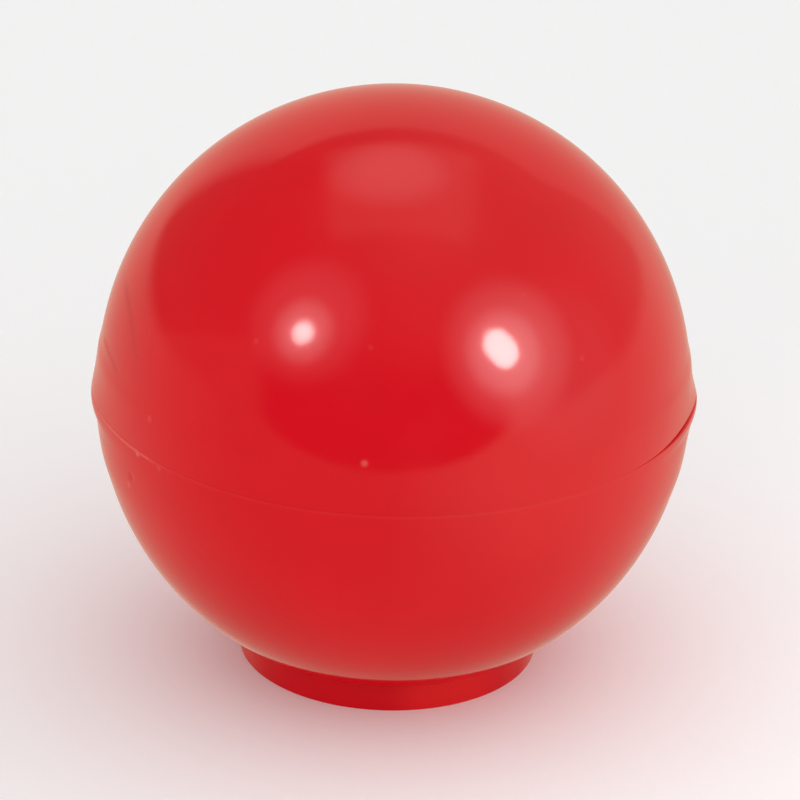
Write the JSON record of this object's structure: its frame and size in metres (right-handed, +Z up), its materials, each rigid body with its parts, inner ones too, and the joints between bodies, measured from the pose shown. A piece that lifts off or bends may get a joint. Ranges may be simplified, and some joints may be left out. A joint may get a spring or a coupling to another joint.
{
  "type": "croquet ball",
  "caption": "Glossy red moulded croquet ball with a welded seam round its equator and a composite core, standing on a short round foot collar.",
  "frame": {"origin": "centre of the foot collar's lower face, which the ball stands on", "axes": "+Z up through the ball's poles, square to the parting plane; +Y points away from the front, +X to the right"},
  "size_m": [0.0944, 0.0944, 0.0917],
  "materials": {
    "ball_skin": "gloss",
    "collar_plastic": "satin",
    "core_composite": "matte"
  },
  "bodies": {
    "root": {"upper_shell": "ball_skin", "lower_shell": "ball_skin", "core": "core_composite", "foot_collar": "collar_plastic"}
  },
  "joints": []
}
